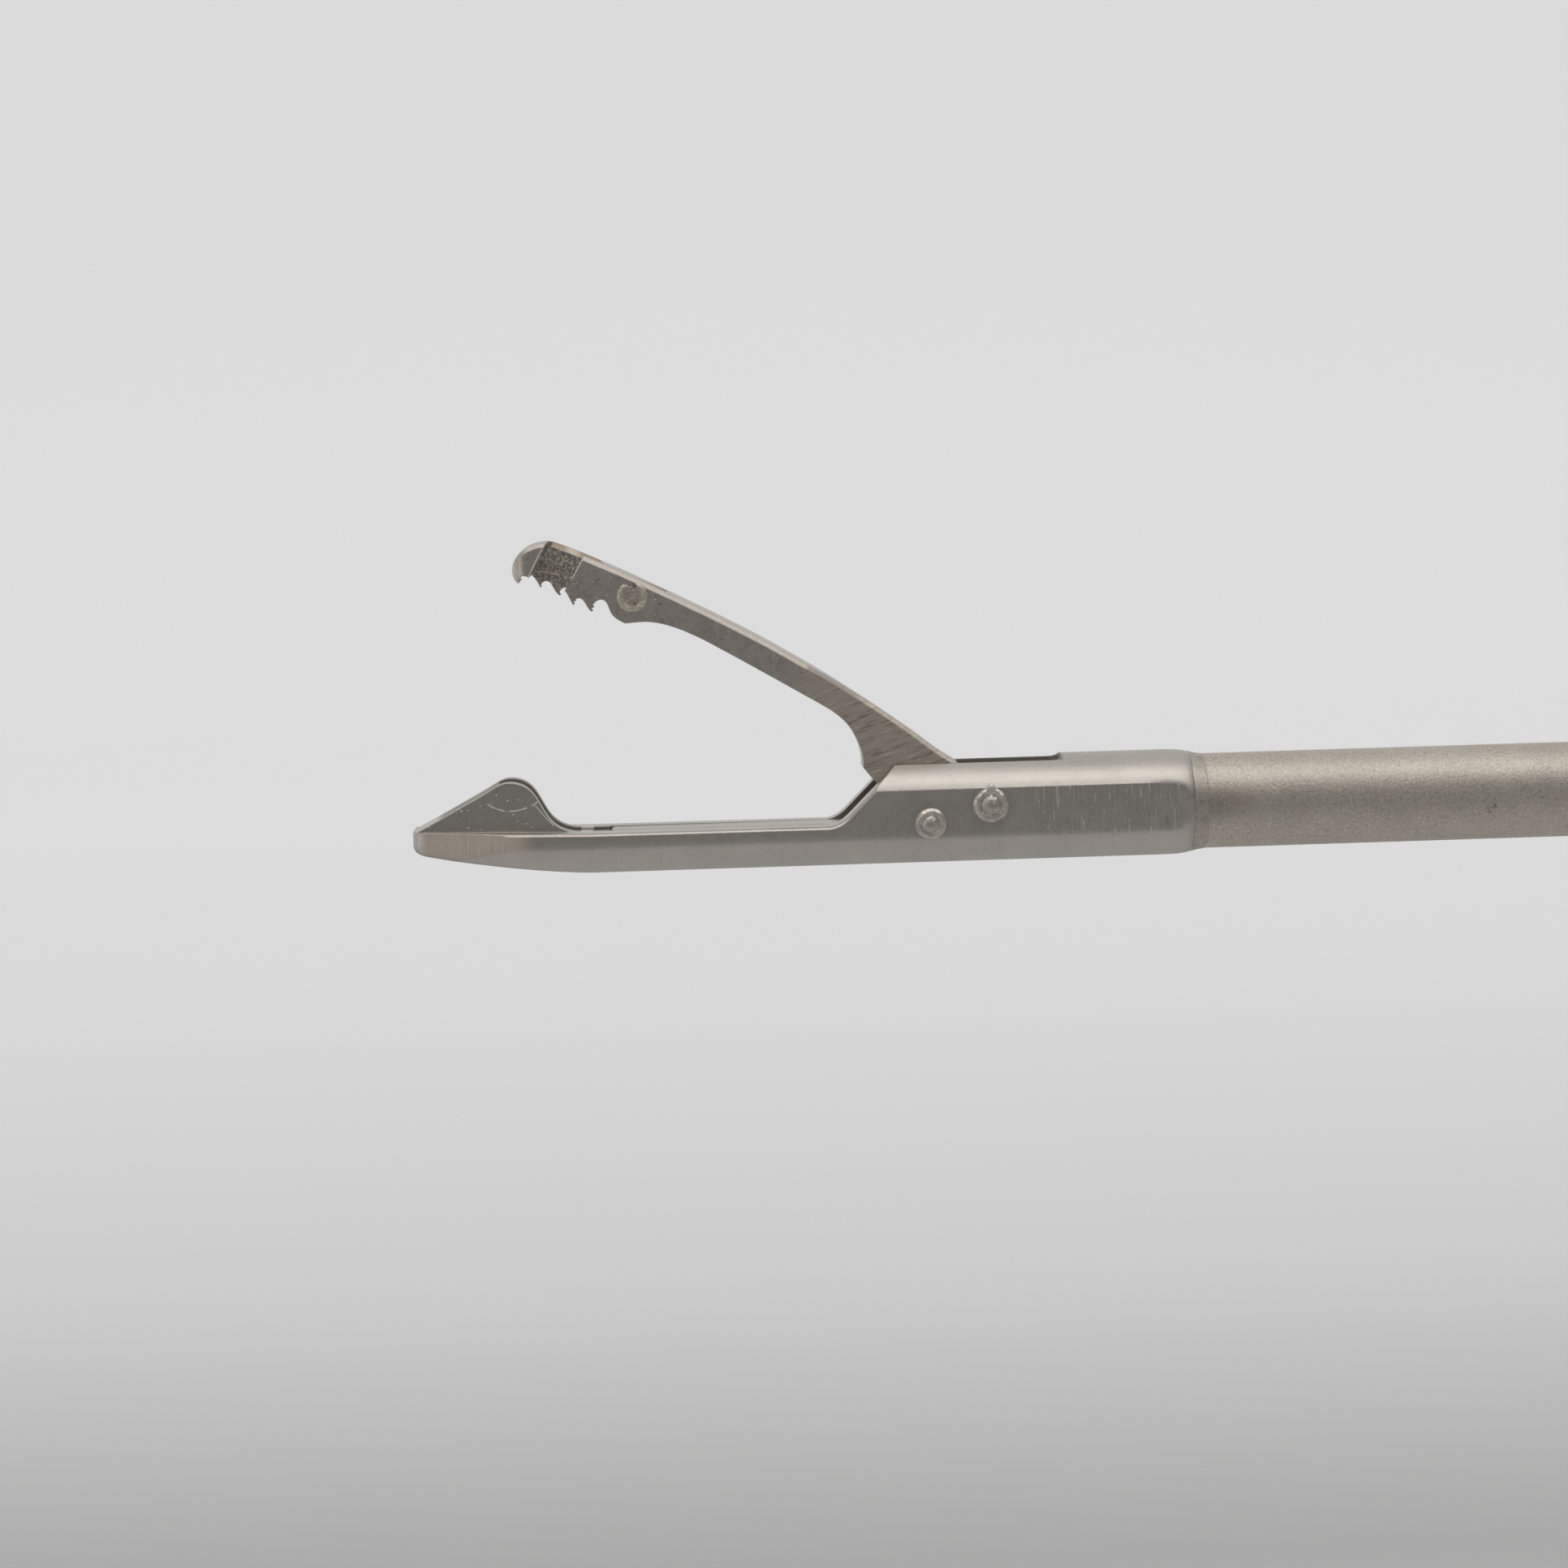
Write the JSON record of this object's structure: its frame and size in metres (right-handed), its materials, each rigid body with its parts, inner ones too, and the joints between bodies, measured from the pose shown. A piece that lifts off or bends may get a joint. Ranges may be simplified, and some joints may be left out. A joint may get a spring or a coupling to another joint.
{
  "type": "arthroscopic suture passer",
  "caption": "Slim hand instrument with a hinged upper jaw, a fixed lower jaw with a needle ramp, a long round shaft and a scissor-type handle with finger ring, thumb ring and needle trigger.",
  "frame": {"origin": "on the shaft axis at the front face of the handle's nose collar", "axes": "+X along the shaft towards the hand, -X towards the jaws, +Z towards the side the upper jaw opens to, Y across the handle"},
  "size_m": [0.2931, 0.0126, 0.1049],
  "materials": {
    "tube": "satin, bead blasted",
    "head": "satin, finely ground flats",
    "jaw": "satin, wire-cut window faces",
    "weld": "peened and laser welded",
    "strip": "satin",
    "needle": "polished nickel-titanium ribbon",
    "rod": "drawn",
    "handle": "satin, rounded edges",
    "cover": "satin",
    "fastener": "turned",
    "collar": "turned and knurled",
    "bush": "bronze, machined",
    "guide": "natural PEEK",
    "seal": "silicone rubber"
  },
  "bodies": {
    "root": {"handle_frame": "handle", "left_cover": "cover", "right_cover": "cover", "cover_screws": "fastener", "lever_pivot_screw": "fastener", "lever_pivot_nut": "fastener", "trigger_pivot_screw": "fastener", "trigger_pivot_nut": "fastener", "nose_collar": "collar", "collar_set_screw": "fastener", "flush_port": "collar", "shaft_tube": "tube", "rod_guides": "guide", "rod_seal": "seal", "distal_head": "head", "track_cover": "strip", "jaw_pivot_pin": "weld", "guide_pin": "weld", "lever_spring": "rod", "trigger_spring": "rod"},
    "jaw": {"upper_jaw": "jaw", "jaw_drive_pin": "rod", "trap_rivet": "weld"},
    "trap": {"suture_trap": "strip"},
    "leaf": {"trap_leaf_spring": "strip"},
    "rod": {"jaw_rod": "rod", "rod_clevis": "rod"},
    "lever": {"jaw_lever": "handle", "lever_bush": "bush", "lever_drive_pin": "rod"},
    "trigger": {"needle_trigger": "handle", "trigger_bush": "bush"},
    "carriage": {"needle_carriage": "collar", "carriage_pin": "rod", "needle_push_rod": "rod", "needle_shank": "needle"},
    "needle": {"needle_tip": "needle"}
  },
  "joints": [
    {"name": "lever_squeeze", "type": "hinge", "parent": "root", "child": "lever", "pos_m": [0.054, 0, -0.0044], "axis": [0, -1, 0], "range_deg": [0, 10], "stiffness_Nm_per_rad": 0.4, "springref_deg": -5.73},
    {"name": "jaw_close", "type": "hinge", "parent": "root", "child": "jaw", "pos_m": [-0.1432, 0, -0.00051], "axis": [0, -1, 0], "range_deg": [0, 28]},
    {"name": "rod_slide", "type": "slide", "parent": "root", "child": "rod", "axis": [-1, 0, 0], "range_m": [0, 0.00093]},
    {"name": "trap_swing", "type": "hinge", "parent": "jaw", "child": "trap", "pos_m": [-0.15834, 0, 0.01175], "axis": [0, 1, 0], "range_deg": [0, 12], "stiffness_Nm_per_rad": 0.0004, "springref_deg": -11.46},
    {"name": "leaf_flex", "type": "hinge", "parent": "jaw", "child": "leaf", "pos_m": [-0.15662, 0, 0.0118], "axis": [0, 1, 0], "range_deg": [0, 6.3]},
    {"name": "trigger_pull", "type": "hinge", "parent": "root", "child": "trigger", "pos_m": [0.036, 0, -0.0224], "axis": [0, -1, 0], "range_deg": [0, 21], "stiffness_Nm_per_rad": 0.15, "springref_deg": -8.59},
    {"name": "carriage_slide", "type": "slide", "parent": "root", "child": "carriage", "axis": [-1, 0, 0], "range_m": [0, 0.00715]},
    {"name": "needle_drive", "type": "hinge", "parent": "root", "child": "needle", "pos_m": [-0.15905, 0, 0.00545], "axis": [0, 1, 0], "range_deg": [0, 56.9]}
  ],
  "couplings": [
    {"joint": "jaw_close", "follows": "lever_squeeze", "ratio": 2.8},
    {"joint": "rod_slide", "follows": "lever_squeeze", "m_per_rad": 0.00532},
    {"joint": "leaf_flex", "follows": "trap_swing", "ratio": 0.52},
    {"joint": "carriage_slide", "follows": "trigger_pull", "m_per_rad": 0.0195},
    {"joint": "needle_drive", "follows": "trigger_pull", "ratio": 2.7083}
  ]
}
